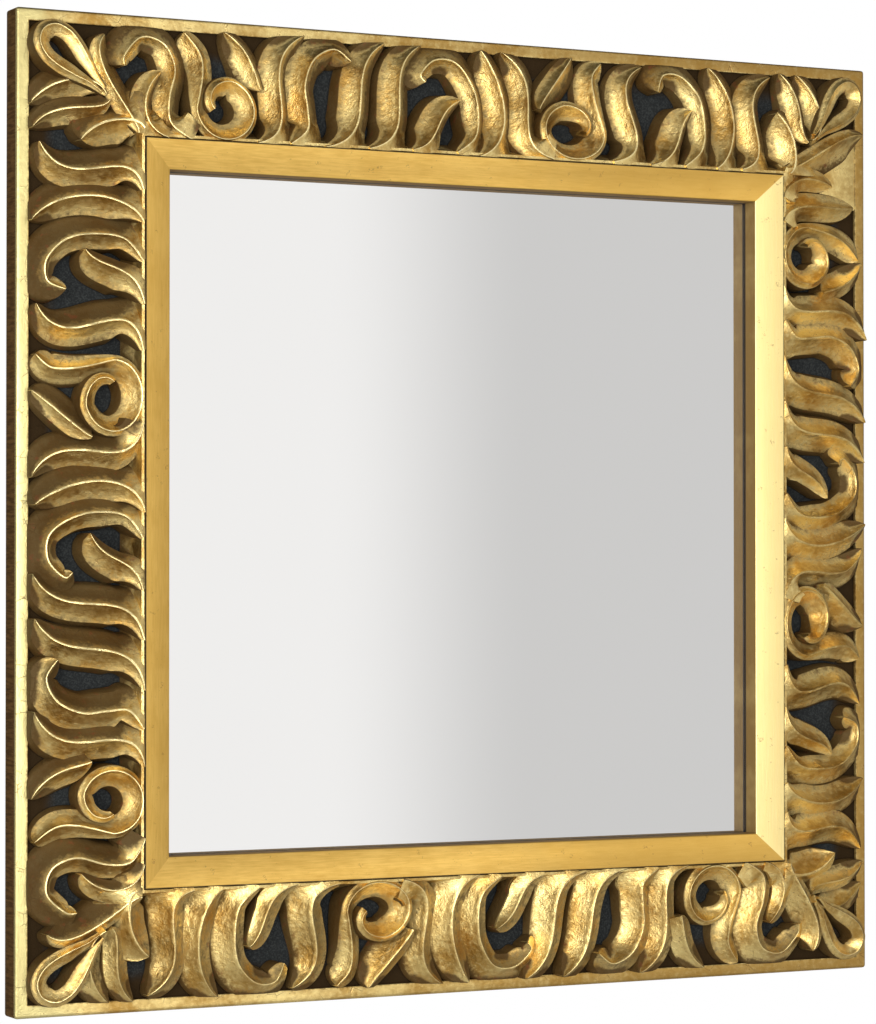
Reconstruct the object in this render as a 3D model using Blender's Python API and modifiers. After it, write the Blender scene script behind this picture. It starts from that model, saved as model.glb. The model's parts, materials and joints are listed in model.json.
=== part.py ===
"""Square wall mirror in a carved and gilded wooden frame.

Metres, +Z up, the front faces -Y. The origin is on the wall plane, at the middle of the mirror.
"""

import math
from dataclasses import dataclass, replace

import bmesh
import bpy
from mathutils import Matrix, Vector

MM = 0.001
RAILS = 4

# Frame board
FRAME_WIDTH = 700 * MM
BOARD_DEPTH = 20 * MM
BOARD_EDGE_RADIUS = 2 * MM
FILLET_WIDTH = 9 * MM
CARVED_WIDTH = 78.6 * MM
GROUND_DEPTH = 4 * MM

# Rebate at the back that takes the backing board
REBATE_WIDTH = 12.6 * MM
REBATE_DEPTH = 12.6 * MM

# Sight moulding, a loose slip between the carving and the glass
MOULDING_WIDTH = 21.2 * MM
MOULDING_RISE = 21.6 * MM
MOULDING_FALL = 8 * MM
MOULDING_EDGE = 0.8 * MM

# Glass and backing
GLASS_THICKNESS = 5 * MM
GLASS_LAP = 17 * MM
FIT_GAP = 0.3 * MM

# Carving, heights above the face of the fillet
CREST_RISE = 21.8 * MM
ROOT_BAND_RISE = 20.6 * MM
ROOT_BAND_WIDTH = 2.4 * MM
ROOT_BAND_SLOPE_WIDTH = 9 * MM
CREST_FALL_POWER = 1.6
NEAR_SLOPE = 0.75
FAR_SLOPE = 1.3
ROOT_FLATNESS = 0.8
ROOT_SHARE = 0.25
FLANK_FACE_SHARE = 0.84
WALL_FOOT_SHARE = 1.12
LEAST_FLANK = 1.2 * MM
INNER_FLANK_SHARE = 0.6
CARVING_BURIED = 3 * MM
CARVING_OVERHANG = 0.7 * MM
PRESSED_SHARE = 0.05
RING_CROWDING = 1.15
CUT_CLEARANCE = 20 * MM

# The pattern below is drawn in millimetres for a rail of this size and is stretched to fit
PATTERN_BAND = 78.6
PATTERN_HALF_LENGTH = 301.7
LOW_BEND_SHARE = 0.12
HIGH_BEND_SHARE = 0.72
NEAR_FLANK = 15.5
FAR_FLANK = 11.5

FRAME_HALF = FRAME_WIDTH / 2
BAND_OUTER = FRAME_HALF - FILLET_WIDTH
BAND_INNER = BAND_OUTER - CARVED_WIDTH
BAND_MIDDLE = (BAND_OUTER + BAND_INNER) / 2
MOULDING_OUTER = BAND_INNER - FIT_GAP
SIGHT_HALF = MOULDING_OUTER - MOULDING_WIDTH
BACKING_THICKNESS = REBATE_DEPTH - FIT_GAP
GLASS_BACK = REBATE_DEPTH
GLASS_FACE = GLASS_BACK + GLASS_THICKNESS
GROUND_FACE = BOARD_DEPTH - GROUND_DEPTH


@dataclass(frozen=True)
class Leaf:
    """A leaf whose crest runs from a root near the glass to a tip near the rim, in pattern millimetres."""

    root: tuple
    bends: tuple
    tip: tuple
    tip_height: float
    near: float = NEAR_FLANK
    far: float = FAR_FLANK
    rings: int = 5

    def crest(self, share):
        """Point on the crest, a cubic curve with its two handles at fixed shares of the rise."""
        rise = self.tip[1] - self.root[1]
        low = (self.bends[0], self.root[1] + rise * LOW_BEND_SHARE)
        high = (self.bends[1], self.root[1] + rise * HIGH_BEND_SHARE)
        rest = 1 - share
        weights = (rest ** 3, 3 * rest ** 2 * share, 3 * rest * share ** 2, share ** 3)
        points = (self.root, low, high, self.tip)
        return tuple(sum(weight * point[axis] for weight, point in zip(weights, points)) for axis in (0, 1))

    def flanks(self, share):
        """Widths of the near flank, narrow at both ends, and of the far one, wide at the root."""
        tip_part = math.sqrt(max(0, 1 - share ** 7))
        return self.near * min(1, 0.35 + 2.8 * share) * tip_part, self.far * tip_part


@dataclass(frozen=True)
class Hook:
    """A leaf that bends over at its top, with its crest drawn through a few points."""

    through: tuple
    tip_height: float
    near: float = NEAR_FLANK
    far: float = FAR_FLANK
    rings: int = 7

    def crest(self, share):
        """Point on a Catmull-Rom curve through the points."""
        last = len(self.through) - 1
        place = min(share * last, last - 1e-6)
        index = int(place)
        part = place - index
        points = [self.through[min(max(index + step, 0), last)] for step in (-1, 0, 1, 2)]
        weights = (
            -part ** 3 + 2 * part ** 2 - part,
            3 * part ** 3 - 5 * part ** 2 + 2,
            -3 * part ** 3 + 4 * part ** 2 + part,
            part ** 3 - part ** 2,
        )
        return tuple(sum(weight * point[axis] for weight, point in zip(weights, points)) / 2 for axis in (0, 1))

    def flanks(self, share):
        """Widths of the two flanks, which run out at the tip."""
        near_tip = math.sqrt(max(0, 1 - share ** 6))
        far_tip = math.sqrt(max(0, 1 - share ** 10))
        return self.near * min(1, 0.35 + 3.5 * share) * near_tip, self.far * far_tip


@dataclass(frozen=True)
class Petal(Hook):
    """A leaf that runs out and back around a slot, widest at its outer end."""

    def flanks(self, share):
        """Widths of the outer and the inner flank, narrow where the two arms meet."""
        opening = min(1, 1.9 * (1 - abs(2 * share - 1)))
        return self.near * (0.4 + 0.6 * opening), self.far * opening


@dataclass(frozen=True)
class Volute:
    """A ring that curls in on itself, with a tail that runs out to the rim."""

    middle: tuple
    radii: tuple
    tail: tuple
    tail_height: float
    mirrored: bool = False
    inner: float = 13.5
    outer: float = 4
    tail_share: float = 0.32
    curl_start: float = 0.7
    eye_share: float = 0.38
    rings: int = 13

    def crest(self, share):
        """Point on the tail and then on the ring, whose radius shrinks over its last part."""
        side = -1 if self.mirrored else 1
        if share < self.tail_share:
            tail = Hook(self.tail + (self.ring_point(0),), self.tail_height)
            return tail.crest(share / self.tail_share)
        return self.ring_point((share - self.tail_share) / (1 - self.tail_share), side)

    def ring_point(self, turn, side=None):
        """Point after a share of the full turn, which starts at the tail and passes the root first."""
        side = side or (-1 if self.mirrored else 1)
        curl = max(0, (turn - self.curl_start) / (1 - self.curl_start))
        shrink = 1 - (1 - self.eye_share) * curl ** 1.2
        angle = math.pi + 2 * math.pi * turn
        across = side * self.radii[0] * shrink * math.cos(angle)
        along = self.radii[1] * shrink * math.sin(angle)
        return self.middle[0] + across, self.middle[1] + along

    def flanks(self, share):
        """Widths on the left and the right of the path: the wide flank falls into the eye."""
        if share < self.tail_share:
            part = share / self.tail_share
            tip_part = math.sqrt(max(0, 1 - (1 - part) ** 5))
            outer = (NEAR_FLANK + (self.outer - NEAR_FLANK) * part ** 2) * tip_part
            inner = (FAR_FLANK + (self.inner - FAR_FLANK) * part) * tip_part
        else:
            turn = (share - self.tail_share) / (1 - self.tail_share)
            curl = max(0, (turn - self.curl_start) / (1 - self.curl_start))
            inner = self.inner * (1 - 0.75 * curl)
            outer = self.outer
        return (outer, inner) if self.mirrored else (inner, outer)


PLAIN_LEAVES = (
    Leaf((-177, 0), (-134, -184), (-138, 79.6), 15.6),
    Leaf((-124, 0), (-75, -113), (-74, 78.6), 14.5),
    Leaf((-89, 1), (-43, -83), (-43, 79.6), 12),
    Leaf((0, 0), (33, 23), (5, 78.6), 14),
    Leaf((62, 1), (17, 67), (24, 79.6), 9),
    Leaf((113, 2), (164, 100), (144, 76), 8),
    Leaf((203, 2), (222, 229), (202, 79.6), 9),
    Leaf((225, 2), (263, 214), (256, 75), 11),
)
INNER_BLADES = (
    Leaf((-245, 0), (-268, -266), (-250, 46), 15.5, near=11, far=6, rings=4),
    Leaf((-54, 2), (-29, -38), (-15, 40), 16, near=15, far=6, rings=4),
    Leaf((145, 1), (176, 166), (182, 44), 16, near=15, far=6, rings=4),
)
SHORT_BLADES = (
    Leaf((-173, 38), (-176, -176), (-198, 79), 9, near=9, far=8, rings=3),
    Leaf((52, 38), (53, 76), (84, 79.6), 9, near=9, far=9, rings=3),
)
CORNER_BLADES = (
    Leaf((-268, 2), (-265, -309), (-291, 70), 15, near=8, far=12),
    Leaf((268, 1), (277, 276), (258, 47), 15, near=19, far=14),
    Leaf((286, 26), (276, 288), (266, 79), 9, near=13, far=7, rings=4),
    Leaf((290, 28), (307, 303), (283, 79.6), 6, near=14, far=9, rings=4),
)
HOOKS = (
    Hook(((-227, -1), (-243, 10), (-244, 28), (-239, 49), (-246, 66), (-263, 70), (-276, 57), (-277, 49)), 14, near=12),
    Hook(((-151, 1), (-138, 12), (-138, 28), (-139, 45), (-131, 63), (-115, 71), (-102, 63)), 16, far=11),
    Hook(((-18, 2), (-3, 14), (0, 33), (-4, 52), (-16, 68), (-33, 69), (-45, 58), (-42, 52)), 13, near=12),
    Hook(((175, 2), (190, 15), (193, 36), (189, 56), (175, 70), (160, 70), (154, 57)), 13, near=12),
)
# On the second rail the first hook broke away and its place was made good with a flat patch
MENDED_RAIL = 1
MENDED_LEAVES = (
    Leaf((-268, 2), (-262, -300), (-297, 76), 15, near=8, far=17),
    Leaf((-245, 0), (-264, -262), (-255, 46), 13, near=12, far=8),
    Leaf((-227, 0), (-247, -236), (-240, 68), 12, near=13, far=10),
)
MENDED_VOLUTE_TAIL = ((-200, 76), (-211, 64), (-218, 48))
PATCH_ALONG = (-296, -240)
PATCH_RISE = (42, PATTERN_BAND + 1)
PATCH_SINK = 0.3 * MM
VOLUTES = (
    Volute((-201, 22.6), (22, 21.5), ((-228, 76.5), (-218, 62.6), (-217, 47)), 8),
    Volute((81, 22.6), (25, 20.5), ((109, 76.5), (100, 65.6), (100, 48)), 8, mirrored=True),
)
# The corner petal is drawn along and across the diagonal, from the inner corner of the band
PETAL = Petal(
    ((44, 1.9), (54, 3.9), (65, 8.2), (77, 12), (88, 13), (98, 9), (102, 0),
     (98, -9), (88, -13), (77, -12), (65, -8.2), (54, -3.9), (44, -1.9)),
    12, near=4.5, far=8.8, rings=11,
)


def clear_scene():
    """Remove every object that the scene starts with."""
    for item in list(bpy.data.objects):
        bpy.data.objects.remove(item, do_unlink=True)


def make_collection(name):
    """Make a collection in the scene."""
    collection = bpy.data.collections.new(name)
    bpy.context.scene.collection.children.link(collection)
    return collection


def make_material(name, colour, roughness, metallic):
    """Make a plain material."""
    material = bpy.data.materials.new(name)
    material.use_nodes = True
    shader = material.node_tree.nodes["Principled BSDF"]
    shader.inputs["Base Color"].default_value = (*colour, 1)
    shader.inputs["Roughness"].default_value = roughness
    shader.inputs["Metallic"].default_value = metallic
    return material


def add_object(name, mesh_tools, collection, material=None):
    """Turn a bmesh into an object of a collection."""
    mesh = bpy.data.meshes.new(name)
    bmesh.ops.recalc_face_normals(mesh_tools, faces=mesh_tools.faces)
    mesh_tools.to_mesh(mesh)
    mesh_tools.free()
    item = bpy.data.objects.new(name, mesh)
    collection.objects.link(item)
    if material:
        mesh.materials.append(material)
    return item


def square_plate(name, half_width, back, front, collection, material=None, edge_radius=0):
    """A square plate on the wall side of the mirror, from one depth in front of the wall to another."""
    tools = bmesh.new()
    bmesh.ops.create_cube(tools, size=1)
    bmesh.ops.scale(tools, vec=(2 * half_width, front - back, 2 * half_width), verts=tools.verts)
    bmesh.ops.translate(tools, vec=(0, -(front + back) / 2, 0), verts=tools.verts)
    if edge_radius:
        rounded = [edge for edge in tools.edges if any(vertex.co.y < -back - edge_radius for vertex in edge.verts)]
        bmesh.ops.bevel(
            tools, geom=rounded, offset=edge_radius, segments=2, profile=0.5, affect="EDGES", clamp_overlap=True
        )
    return add_object(name, tools, collection, material)


def mitred_ring(name, profile, collection, material=None):
    """A square ring with mitred corners: a closed profile of half-width and depth, turned in four steps."""
    mesh = bpy.data.meshes.new(name)
    corner = math.sqrt(2)
    points = [(half_width * corner, -depth, 0) for half_width, depth in profile]
    edges = [(index, (index + 1) % len(points)) for index in range(len(points))]
    mesh.from_pydata(points, edges, [])
    ring = bpy.data.objects.new(name, mesh)
    collection.objects.link(ring)
    turn = ring.modifiers.new("Turn", "SCREW")
    turn.axis = "Y"
    turn.angle = 2 * math.pi
    turn.steps = RAILS
    turn.render_steps = RAILS
    turn.use_merge_vertices = True
    turn.merge_threshold = 0.01 * MM
    turn.use_normal_calculate = True
    turn.use_smooth_shade = False
    bpy.context.view_layer.update()
    evaluated = ring.evaluated_get(bpy.context.evaluated_depsgraph_get())
    tools = bmesh.new()
    tools.from_mesh(evaluated.to_mesh())
    evaluated.to_mesh_clear()
    bpy.data.objects.remove(ring)
    bpy.data.meshes.remove(mesh)
    bmesh.ops.rotate(tools, cent=(0, 0, 0), matrix=Matrix.Rotation(math.pi / 4, 3, "Y"), verts=tools.verts)
    return add_object(name, tools, collection, material)


def stretch(along, rise):
    """Place a pattern point on the real rail: distance along it and half-width from the middle."""
    rail_along = along * BAND_MIDDLE / PATTERN_HALF_LENGTH
    half_width = BAND_INNER + rise * CARVED_WIDTH / PATTERN_BAND
    return Vector((rail_along, half_width))


def diagonal(along, across):
    """Pattern point at a distance along and across the diagonal from the inner corner of the band."""
    corner = PATTERN_HALF_LENGTH - PATTERN_BAND / 2
    side = (along + across) / math.sqrt(2)
    rise = (along - across) / math.sqrt(2)
    return -corner - side, rise


def crest_height(rise, tip_height):
    """Height of a crest over the fillet, which falls from the root to the tip."""
    share = min(max(rise / PATTERN_BAND, 0), 1)
    return CREST_RISE - (CREST_RISE - tip_height * MM) * share ** CREST_FALL_POWER


def bend_radius(before, here, after):
    """Radius of the bend at a point, and whether it bends to the left."""
    first = here - before
    second = after - here
    turn = first.x * second.y - first.y * second.x
    angle = abs(math.atan2(turn, first.dot(second)))
    length = (first.length + second.length) / 2
    return (length / angle if angle > 1e-4 else 1e3), turn > 0


def press(half_width):
    """Press what runs past the outer edge of the band against it."""
    limit = BAND_OUTER + CARVING_OVERHANG
    return half_width if half_width < limit else limit + (half_width - limit) * PRESSED_SHARE


def leaf_sections(leaf, place, tip_height):
    """Cross sections of a leaf from root to tip, each a row of (along, half-width, height) points."""
    step = 1 / leaf.rings
    sections = []
    for ring in range(leaf.rings + 1):
        share = 1 - (1 - ring * step) ** RING_CROWDING
        around = [stretch(*place(*leaf.crest(min(max(share + move, 0), 1)))) for move in (-step / 3, 0, step / 3)]
        before, here, after = around
        forward = (after - before).normalized()
        left = Vector((-forward.y, forward.x))
        near, far = (max(width * MM, LEAST_FLANK) for width in leaf.flanks(share))
        radius, bends_left = bend_radius(before, here, after) if 0 < ring < leaf.rings else (1e3, False)
        if bends_left:
            near = min(near, INNER_FLANK_SHARE * radius)
        else:
            far = min(far, INNER_FLANK_SHARE * radius)
        rise = (here.y - BAND_INNER) / CARVED_WIDTH * PATTERN_BAND
        height = crest_height(rise, tip_height)
        floor = -GROUND_DEPTH - CARVING_BURIED
        far_slope = FAR_SLOPE * (1 - ROOT_FLATNESS * max(0, 1 - share / ROOT_SHARE))
        near_edge = max(height - NEAR_SLOPE * near, GROUND_DEPTH / 2)
        far_edge = max(height - far_slope * far, GROUND_DEPTH / 2)
        row = (
            (here + left * near * WALL_FOOT_SHARE, floor),
            (here + left * near * FLANK_FACE_SHARE, near_edge),
            (here, height),
            (here - left * far * FLANK_FACE_SHARE, far_edge),
            (here - left * far * WALL_FOOT_SHARE, floor),
        )
        sections.append([(point.x, press(point.y), level) for point, level in row])
    return sections


def loft(name, sections, rail, collection):
    """Skin a row of cross sections into a closed solid on one rail; rails follow clockwise from the top."""
    tools = bmesh.new()
    rows = []
    for section in sections:
        points = [Vector((along, -BOARD_DEPTH - height, half_width)) for along, half_width, height in section]
        rows.append([tools.verts.new(point) for point in points])
    for row, following in zip(rows, rows[1:]):
        for index in range(len(row)):
            beside = (index + 1) % len(row)
            tools.faces.new((row[index], row[beside], following[beside], following[index]))
    tools.faces.new(rows[0])
    tools.faces.new(rows[-1])
    turn = Matrix.Rotation(rail * math.pi / 2, 3, "Y")
    bmesh.ops.rotate(tools, cent=(0, 0, 0), matrix=turn, verts=tools.verts)
    return add_object(name, tools, collection)


def straight(along, rise):
    """Leave a pattern point as it is."""
    return along, rise


def add_patch(rail, collection):
    """Fill the place of a lost hook almost up to the fillet."""
    corners = [stretch(along, rise) for along in PATCH_ALONG for rise in PATCH_RISE]
    floor = -GROUND_DEPTH - CARVING_BURIED
    outline = (corners[0], corners[1], corners[3], corners[2])
    sections = [[(point.x, point.y, height) for point in outline] for height in (floor, -PATCH_SINK)]
    loft(f"patch_{rail}", sections, rail, collection)


def carve_rail(rail, collection):
    """Make the leaves, hooks, volutes and corner petal of one rail."""
    mended = rail == MENDED_RAIL
    changing = (CORNER_BLADES[0], INNER_BLADES[0], HOOKS[0])
    plain = MENDED_LEAVES if mended else changing
    plain += PLAIN_LEAVES + INNER_BLADES[1:] + SHORT_BLADES + CORNER_BLADES[1:] + HOOKS[1:]
    rows = [(leaf, straight, leaf.tip_height) for leaf in plain]
    volutes = (replace(VOLUTES[0], tail=MENDED_VOLUTE_TAIL), VOLUTES[1]) if mended else VOLUTES
    rows += [(volute, straight, volute.tail_height) for volute in volutes]
    if mended:
        add_patch(rail, collection)
    rows.append((PETAL, diagonal, PETAL.tip_height))
    for number, (leaf, place, tip_height) in enumerate(rows):
        loft(f"leaf_{rail}_{number}", leaf_sections(leaf, place, tip_height), rail, collection)


def add_boolean(item, name, operation, operand):
    """Cut an object with, or join it to, another object or a collection."""
    boolean = item.modifiers.new(name, "BOOLEAN")
    boolean.solver = "EXACT"
    boolean.operation = operation
    if isinstance(operand, bpy.types.Collection):
        boolean.operand_type = "COLLECTION"
        boolean.collection = operand
    else:
        boolean.object = operand


def make_guides(collection):
    """Mark every object of a collection as a guide, left out of renders."""
    for item in collection.objects:
        item.hide_render = True
        item.display_type = "WIRE"


def carved_frame(pieces, cutters, carving):
    """The board with its sunk ground, its carving, the opening and the rebate at its back."""
    gold = make_material("gilded_wood", (0.62, 0.40, 0.11), 0.38, 0.75)
    frame = square_plate("carved_frame", FRAME_HALF, 0, BOARD_DEPTH, pieces, gold, BOARD_EDGE_RADIUS)
    ground = square_plate("ground_cutter", BAND_OUTER, GROUND_FACE, BOARD_DEPTH + CUT_CLEARANCE, cutters)
    front = BOARD_DEPTH + CREST_RISE + CUT_CLEARANCE
    opening = square_plate("opening_cutter", BAND_INNER, -CUT_CLEARANCE, front, cutters)
    rebate = square_plate("rebate_cutter", BAND_INNER + REBATE_WIDTH, -CUT_CLEARANCE, REBATE_DEPTH, cutters)
    band = (
        (BAND_INNER - ROOT_BAND_WIDTH, GROUND_FACE - CARVING_BURIED),
        (BAND_INNER - ROOT_BAND_WIDTH, BOARD_DEPTH + ROOT_BAND_RISE),
        (BAND_INNER + ROOT_BAND_WIDTH, BOARD_DEPTH + ROOT_BAND_RISE),
        (BAND_INNER + ROOT_BAND_WIDTH + ROOT_BAND_SLOPE_WIDTH, GROUND_FACE - CARVING_BURIED),
    )
    mitred_ring("root_band", band, carving)
    for rail in range(RAILS):
        carve_rail(rail, carving)
    add_boolean(frame, "Ground", "DIFFERENCE", ground)
    add_boolean(frame, "Carving", "UNION", carving)
    add_boolean(frame, "Opening", "DIFFERENCE", opening)
    add_boolean(frame, "Rebate", "DIFFERENCE", rebate)
    return frame


def sight_moulding(pieces):
    """The slip that slopes down from the carving to the glass."""
    gold = make_material("gilded_slip", (0.72, 0.50, 0.17), 0.36, 0.75)
    back = GLASS_FACE + FIT_GAP
    outer = BOARD_DEPTH + MOULDING_RISE
    sight = outer - MOULDING_FALL
    profile = (
        (SIGHT_HALF, back),
        (SIGHT_HALF, sight - MOULDING_EDGE),
        (SIGHT_HALF + MOULDING_EDGE, sight),
        (MOULDING_OUTER - MOULDING_EDGE, outer),
        (MOULDING_OUTER, outer - MOULDING_EDGE),
        (MOULDING_OUTER, back),
    )
    return mitred_ring("sight_moulding", profile, pieces, gold)


def mirror_glass(pieces):
    """The silvered glass plate behind the moulding."""
    silver = make_material("silvered_glass", (0.86, 0.87, 0.88), 0.02, 1)
    return square_plate("mirror_glass", SIGHT_HALF + GLASS_LAP, GLASS_BACK, GLASS_FACE, pieces, silver)


def backing_board(pieces):
    """The board in the rebate, flush with the back of the frame."""
    wood = make_material("backing_wood", (0.30, 0.19, 0.10), 0.75, 0)
    half_width = BAND_INNER + REBATE_WIDTH - FIT_GAP
    return square_plate("backing_board", half_width, 0, BACKING_THICKNESS, pieces, wood)


def main():
    """Build the mirror."""
    clear_scene()
    pieces = make_collection("wall_mirror")
    cutters = make_collection("cutters")
    carving = make_collection("carving")
    carved_frame(pieces, cutters, carving)
    sight_moulding(pieces)
    mirror_glass(pieces)
    backing_board(pieces)
    make_guides(cutters)
    make_guides(carving)


if __name__ == "__main__":
    main()
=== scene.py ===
"""Looks of a square wall mirror in a carved and gilded wooden frame.

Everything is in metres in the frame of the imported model: +Z up, the front faces -Y, and the origin is on
the wall plane at the middle of the mirror. A rail is drawn once, as the top rail, and turned by quarters.
On a rail a place is given by its distance along the rail, its half-width from the middle of the mirror, and
its height over the fillet.
"""

from __future__ import annotations

import json
import logging
import math
from dataclasses import dataclass, field, replace
from enum import Enum
from typing import Callable, ClassVar, Sequence

import bmesh
import bpy
import numpy as np
from mathutils import Matrix, Vector, noise

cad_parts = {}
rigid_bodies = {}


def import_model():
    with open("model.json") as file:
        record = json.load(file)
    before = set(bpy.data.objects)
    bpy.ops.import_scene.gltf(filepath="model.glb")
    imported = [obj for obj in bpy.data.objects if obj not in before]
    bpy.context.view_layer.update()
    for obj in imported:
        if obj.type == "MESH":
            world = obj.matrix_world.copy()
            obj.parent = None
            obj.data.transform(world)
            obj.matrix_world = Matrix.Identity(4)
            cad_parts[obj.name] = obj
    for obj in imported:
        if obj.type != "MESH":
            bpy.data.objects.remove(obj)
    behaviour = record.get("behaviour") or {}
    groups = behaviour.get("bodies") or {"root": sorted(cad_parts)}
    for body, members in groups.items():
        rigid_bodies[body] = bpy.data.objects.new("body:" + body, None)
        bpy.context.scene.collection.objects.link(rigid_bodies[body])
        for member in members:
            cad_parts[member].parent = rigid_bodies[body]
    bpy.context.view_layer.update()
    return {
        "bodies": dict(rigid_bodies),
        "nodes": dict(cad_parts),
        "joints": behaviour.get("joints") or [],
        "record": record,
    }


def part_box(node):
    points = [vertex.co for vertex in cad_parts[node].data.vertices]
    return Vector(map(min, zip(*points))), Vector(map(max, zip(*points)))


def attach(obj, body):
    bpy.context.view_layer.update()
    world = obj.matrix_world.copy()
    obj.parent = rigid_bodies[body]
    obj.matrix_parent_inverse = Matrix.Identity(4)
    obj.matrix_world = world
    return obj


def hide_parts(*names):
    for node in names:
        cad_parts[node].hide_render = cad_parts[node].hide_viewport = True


LOG = logging.getLogger("wall_mirror")

MM = 0.001
RAILS = 4
BOARD_DEPTH = 20 * MM
FILLET_WIDTH = 9 * MM
SLIP_WIDTH = 21.2 * MM
FIT_GAP = 0.3 * MM
Colour = tuple[float, float, float]


# Shader maths


@dataclass(frozen=True)
class Signal:
    """A socket of a shader tree that takes part in Python expressions."""

    graph: "Graph"
    socket: bpy.types.NodeSocket

    def _math(self, operation: str, *others: "Signal | float", flipped: bool = False) -> "Signal":
        """Add a Math node.

        Args:
            operation: The Math node's operation.
            others: The other operands.
            flipped: Whether this signal is the second operand.

        Returns:
            The node's result.
        """
        operands = (*others, self) if flipped else (self, *others)
        return self.graph.node("ShaderNodeMath", {"operation": operation}, dict(enumerate(operands)))

    def __add__(self, other: "Signal | float") -> "Signal":
        """Add."""
        return self._math("ADD", other)

    __radd__ = __add__

    def __mul__(self, other: "Signal | float") -> "Signal":
        """Multiply."""
        return self._math("MULTIPLY", other)

    __rmul__ = __mul__

    def __sub__(self, other: "Signal | float") -> "Signal":
        """Subtract."""
        return self._math("SUBTRACT", other)

    def __rsub__(self, other: "Signal | float") -> "Signal":
        """Subtract this signal from a number."""
        return self._math("SUBTRACT", other, flipped=True)

    def __truediv__(self, other: "Signal | float") -> "Signal":
        """Divide."""
        return self._math("DIVIDE", other)

    def __abs__(self) -> "Signal":
        """Take the absolute value."""
        return self._math("ABSOLUTE")

    def most(self, other: "Signal | float") -> "Signal":
        """Take the larger of two values."""
        return self._math("MAXIMUM", other)

    def least(self, other: "Signal | float") -> "Signal":
        """Take the smaller of two values."""
        return self._math("MINIMUM", other)

    def step(self, low: float, high: float) -> "Signal":
        """Rise smoothly from 0 at low to 1 at high.

        Args:
            low: The value that gives 0.
            high: The value that gives 1; it may be the smaller of the two.

        Returns:
            A value from 0 to 1.
        """
        ends = (low, high, 0.0, 1.0) if high > low else (high, low, 1.0, 0.0)
        inputs = {"Value": self, **dict(zip(("From Min", "From Max", "To Min", "To Max"), ends))}
        return self.graph.node("ShaderNodeMapRange", {"interpolation_type": "SMOOTHSTEP"}, inputs)


class Graph:
    """The node tree of a material or a world."""

    def __init__(self, tree: bpy.types.NodeTree) -> None:
        """Keep the tree and clear it."""
        self.tree = tree
        tree.nodes.clear()

    def node(
        self, kind: str, settings: dict | None = None, inputs: dict | None = None, output: int | str = 0
    ) -> Signal:
        """Add a node.

        Args:
            kind: The node's type.
            settings: Properties that are set first.
            inputs: Values or signals of its sockets, by name or index.
            output: The socket that is returned, by name or index.

        Returns:
            The chosen output.
        """
        made = self.tree.nodes.new(kind)
        for name, value in (settings or {}).items():
            setattr(made, name, value)
        for name, value in (inputs or {}).items():
            if isinstance(value, Signal):
                self.tree.links.new(value.socket, made.inputs[name])
            else:
                made.inputs[name].default_value = value
        return Signal(self, made.outputs[output]) if made.outputs else Signal(self, None)

    def mix(self, share: Signal | float, low: Signal | Colour, high: Signal | Colour) -> Signal:
        """Mix two colours.

        Args:
            share: How much of the second colour is taken, 0 to 1.
            low: The first colour.
            high: The second colour.

        Returns:
            The mixed colour.
        """
        ends = [value if isinstance(value, Signal) else (*value, 1.0) for value in (low, high)]
        inputs = {0: share, 6: ends[0], 7: ends[1]}
        return self.node("ShaderNodeMix", {"data_type": "RGBA", "clamp_factor": True}, inputs, 2)

    def place(self) -> Signal:
        """Read the object coordinates."""
        return self.node("ShaderNodeTexCoord", output="Object")

    def stretched(self, scale: tuple[float, float, float]) -> Signal:
        """Read the object coordinates, stretched along each axis."""
        return self.node("ShaderNodeMapping", None, {"Vector": self.place(), "Scale": scale})

    def axes(self) -> tuple[Signal, Signal, Signal]:
        """Read the object coordinates as three values."""
        place = self.place()
        return tuple(self.node("ShaderNodeSeparateXYZ", None, {0: place}, axis) for axis in range(3))

    def noise(
        self, scale: float, detail: float = 2.0, rough: float = 0.5, where: Signal | None = None
    ) -> Signal:
        """Add a noise texture.

        Args:
            scale: Cells per metre.
            detail: Number of finer layers.
            rough: How strong the finer layers are.
            where: The coordinates, or None for the object's own.

        Returns:
            A value around 0.5.
        """
        inputs = {"Vector": where or self.place(), "Scale": scale, "Detail": detail, "Roughness": rough}
        return self.node("ShaderNodeTexNoise", None, inputs, "Fac")

    def cells(self, scale: float, feature: str) -> Signal:
        """Add a Voronoi texture and return its distance."""
        inputs = {"Vector": self.place(), "Scale": scale}
        return self.node("ShaderNodeTexVoronoi", {"feature": feature}, inputs, "Distance")

    def bump(self, height: Signal, depth: float, strength: float, below: Signal | None = None) -> Signal:
        """Turn a height into a normal.

        Args:
            height: The height, where 1 is the full depth.
            depth: The full depth in metres.
            strength: How strongly the bump shows.
            below: A normal that this bump lies on.

        Returns:
            The normal.
        """
        inputs = {"Height": height, "Distance": depth, "Strength": strength}
        if below:
            inputs["Normal"] = below
        return self.node("ShaderNodeBump", None, inputs)


def new_material(name: str) -> tuple[bpy.types.Material, Graph]:
    """Make an empty material.

    Args:
        name: The material's name.

    Returns:
        The material and its graph.
    """
    material = bpy.data.materials.new(name)
    material.use_nodes = True
    return material, Graph(material.node_tree)


def surface(graph: Graph, inputs: dict) -> None:
    """Finish a material with one Principled BSDF.

    Args:
        graph: The material's graph.
        inputs: The sockets of the shader.
    """
    shader = graph.node("ShaderNodeBsdfPrincipled", None, inputs)
    graph.node("ShaderNodeOutputMaterial", None, {"Surface": shader})


@dataclass(frozen=True)
class Reading:
    """What the carved gold reads at a point: its place, the marks of the carving and three noises."""

    across: Signal
    half_width: Signal
    height: Signal
    level: Signal
    wall: Signal
    below: Signal
    edge: Signal
    flat: Signal
    cloud: Signal
    grain: Signal
    fine: Signal


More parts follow.
